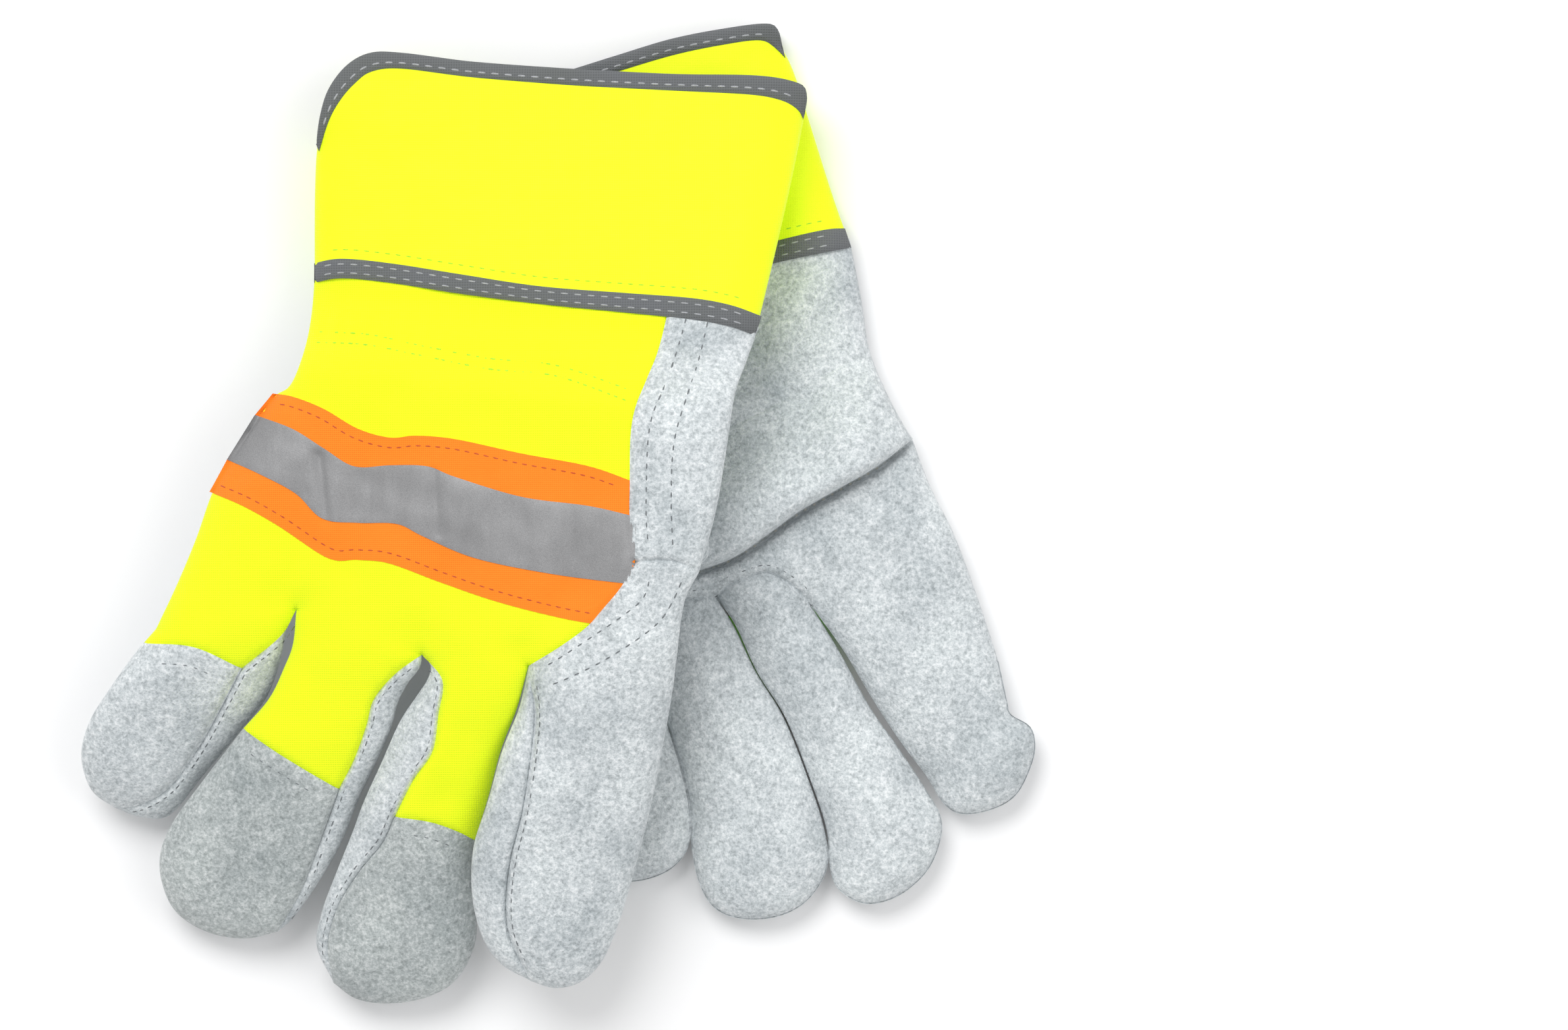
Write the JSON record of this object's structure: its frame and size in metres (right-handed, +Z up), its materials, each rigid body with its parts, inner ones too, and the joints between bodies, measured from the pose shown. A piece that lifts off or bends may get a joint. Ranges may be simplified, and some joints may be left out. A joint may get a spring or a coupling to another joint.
{
  "type": "work gloves",
  "caption": "Pair of split-leather work gloves with bright fabric backs, flat safety cuffs and a reflective band over the knuckles, laid one on the other.",
  "frame": {"origin": "on the table under the pair, near the middle of its footprint", "axes": "+Z up off the table, +Y towards the cuffs, +X towards the lower glove's fingertips"},
  "size_m": [0.2797, 0.277, 0.053],
  "materials": {
    "suede": "soft split suede, napped",
    "suede_tip": "split suede, a little darker",
    "back_fabric": "fluorescent woven cotton",
    "cuff_cloth": "fluorescent rubberised cloth",
    "binding": "grey woven binding",
    "orange_tape": "fluorescent orange weave",
    "silver_tape": "retroreflective silver cloth",
    "lining": "plain cotton",
    "elastic": "woven elastic",
    "thread": "twisted sewing thread"
  },
  "bodies": {
    "left_hand": {"left_palm_leather": "suede", "left_palm_lining": "lining", "left_back_fabric": "back_fabric", "left_side_strip": "suede", "left_outer_wall": "suede", "left_tape_orange": "orange_tape", "left_tape_silver": "silver_tape", "left_wrist_elastic": "elastic"},
    "left_cuff": {"left_cuff_shell": "cuff_cloth", "left_cuff_lining": "lining", "left_cuff_top_binding": "binding", "left_cuff_base_binding": "binding"},
    "left_little": {"left_little_front": "suede", "left_little_back": "back_fabric", "left_little_tip": "suede_tip", "left_little_sidewalls": "suede"},
    "left_ring": {"left_ring_front": "suede", "left_ring_back": "back_fabric", "left_ring_tip": "suede_tip", "left_ring_sidewalls": "suede"},
    "left_middle": {"left_middle_front": "suede", "left_middle_back": "back_fabric", "left_middle_tip": "suede_tip", "left_middle_sidewalls": "suede"},
    "left_index": {"left_index_front": "suede", "left_index_back": "suede", "left_index_sidewalls": "suede"},
    "left_thumb": {"left_thumb_front": "suede", "left_thumb_back": "suede"},
    "right_hand": {"right_palm_leather": "suede", "right_palm_lining": "lining", "right_back_fabric": "back_fabric", "right_side_strip": "suede", "right_outer_wall": "suede", "right_tape_orange": "orange_tape", "right_tape_silver": "silver_tape", "right_wrist_elastic": "elastic"},
    "right_cuff": {"right_cuff_shell": "cuff_cloth", "right_cuff_lining": "lining", "right_cuff_top_binding": "binding", "right_cuff_base_binding": "binding"},
    "right_little": {"right_little_front": "suede", "right_little_back": "back_fabric", "right_little_tip": "suede_tip", "right_little_sidewalls": "suede"},
    "right_ring": {"right_ring_front": "suede", "right_ring_back": "back_fabric", "right_ring_tip": "suede_tip", "right_ring_sidewalls": "suede"},
    "right_middle": {"right_middle_front": "suede", "right_middle_back": "back_fabric", "right_middle_tip": "suede_tip", "right_middle_sidewalls": "suede"},
    "right_index": {"right_index_front": "suede", "right_index_back": "suede", "right_index_sidewalls": "suede"},
    "right_thumb": {"right_thumb_front": "suede", "right_thumb_back": "suede"}
  },
  "joints": [
    {"name": "lift_off", "type": "slide", "parent": "left_hand", "child": "right_hand", "axis": [0, 0, 1], "range_m": [0, 0.25]},
    {"name": "right_little_bend", "type": "hinge", "parent": "right_hand", "child": "right_little", "pos_m": [-0.09725, -0.029, 0.02249], "axis": [0.9908, 0, 0.1354], "range_deg": [0, 60]},
    {"name": "right_ring_bend", "type": "hinge", "parent": "right_hand", "child": "right_ring", "pos_m": [-0.0575, -0.029, 0.02793], "axis": [0.9908, 0, 0.1354], "range_deg": [0, 60]},
    {"name": "right_middle_bend", "type": "hinge", "parent": "right_hand", "child": "right_middle", "pos_m": [-0.02225, -0.029, 0.03274], "axis": [0.9908, 0, 0.1354], "range_deg": [0, 60]},
    {"name": "right_index_bend", "type": "hinge", "parent": "right_hand", "child": "right_index", "pos_m": [0.01475, -0.029, 0.0518], "axis": [0.9908, 0, 0.1354], "range_deg": [-45, 0]},
    {"name": "right_wrist_bend", "type": "hinge", "parent": "right_hand", "child": "right_cuff", "pos_m": [-0.01, 0.05725, 0.03525], "axis": [0.987, -0.1114, 0.1154], "range_deg": [0, 45]},
    {"name": "left_little_bend", "type": "hinge", "parent": "left_hand", "child": "left_little", "pos_m": [0.01775, -0.03486, 0], "axis": [-0.996, -0.0889, 0], "range_deg": [-45, 0]},
    {"name": "left_ring_bend", "type": "hinge", "parent": "left_hand", "child": "left_ring", "pos_m": [0.04475, -0.03245, 0.014], "axis": [-0.996, -0.0889, 0], "range_deg": [0, 60]},
    {"name": "left_middle_bend", "type": "hinge", "parent": "left_hand", "child": "left_middle", "pos_m": [0.0685, -0.03033, 0.014], "axis": [-0.996, -0.0889, 0], "range_deg": [0, 60]},
    {"name": "left_index_bend", "type": "hinge", "parent": "left_hand", "child": "left_index", "pos_m": [0.1025, -0.02729, 0.014], "axis": [-0.996, -0.0889, 0], "range_deg": [0, 60]},
    {"name": "left_wrist_bend", "type": "hinge", "parent": "left_hand", "child": "left_cuff", "pos_m": [0.02442, 0.06275, 0], "axis": [-0.9724, -0.2335, 0], "range_deg": [0, 45]},
    {"name": "right_thumb_swing", "type": "hinge", "parent": "right_hand", "child": "right_thumb", "pos_m": [0.036, 0.002, 0.03302], "axis": [0.1395, 0, -0.9902], "range_deg": [-40, 0]},
    {"name": "left_thumb_swing", "type": "hinge", "parent": "left_hand", "child": "left_thumb", "pos_m": [0.0964, 0.0357, 0.0191], "axis": [0, 0, -1], "range_deg": [-60, 0]}
  ]
}
